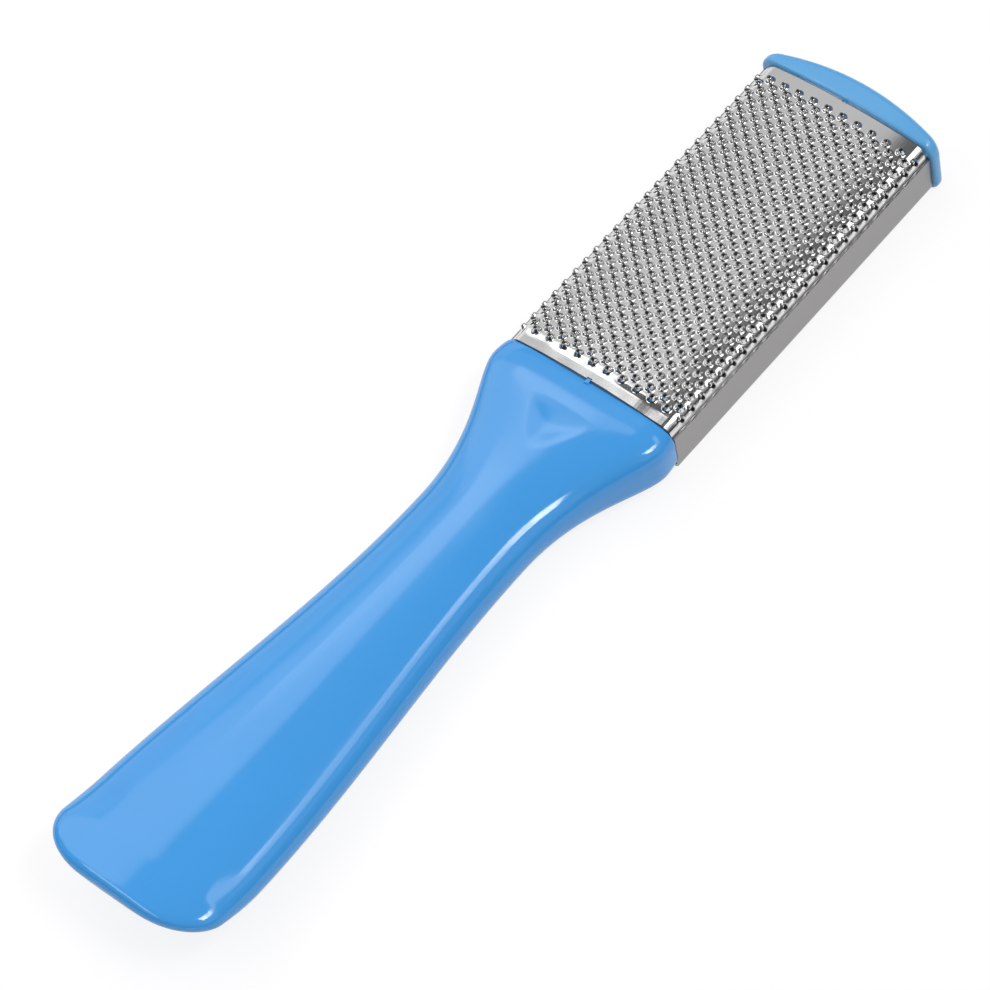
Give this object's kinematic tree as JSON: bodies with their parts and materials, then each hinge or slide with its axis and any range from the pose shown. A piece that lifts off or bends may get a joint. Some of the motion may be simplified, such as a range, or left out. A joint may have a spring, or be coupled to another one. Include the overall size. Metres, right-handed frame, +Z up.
{
  "type": "foot file",
  "caption": "Two-sided foot file: a crowned steel rasp head with a coarse and a fine nubbed face, on a blue gloss plastic paddle handle with a waist and an end cap.",
  "frame": {"origin": "middle of the file's length and width, at the height of the fine nubs' tips, which it rests on", "axes": "+X along the file towards the end cap, +Z up out of the coarse face"},
  "size_m": [0.2484, 0.0476, 0.0197],
  "materials": {
    "handle_plastic": "gloss",
    "core_plastic": "as moulded",
    "polished_steel": "polished, punched",
    "satin_steel": "satin brushed, punched",
    "cap_plastic": "satin gloss"
  },
  "bodies": {
    "root": {"handle": "handle_plastic", "head_core": "core_plastic", "coarse_rasp_plate": "polished_steel", "fine_rasp_plate": "satin_steel", "end_cap": "cap_plastic"}
  },
  "joints": []
}
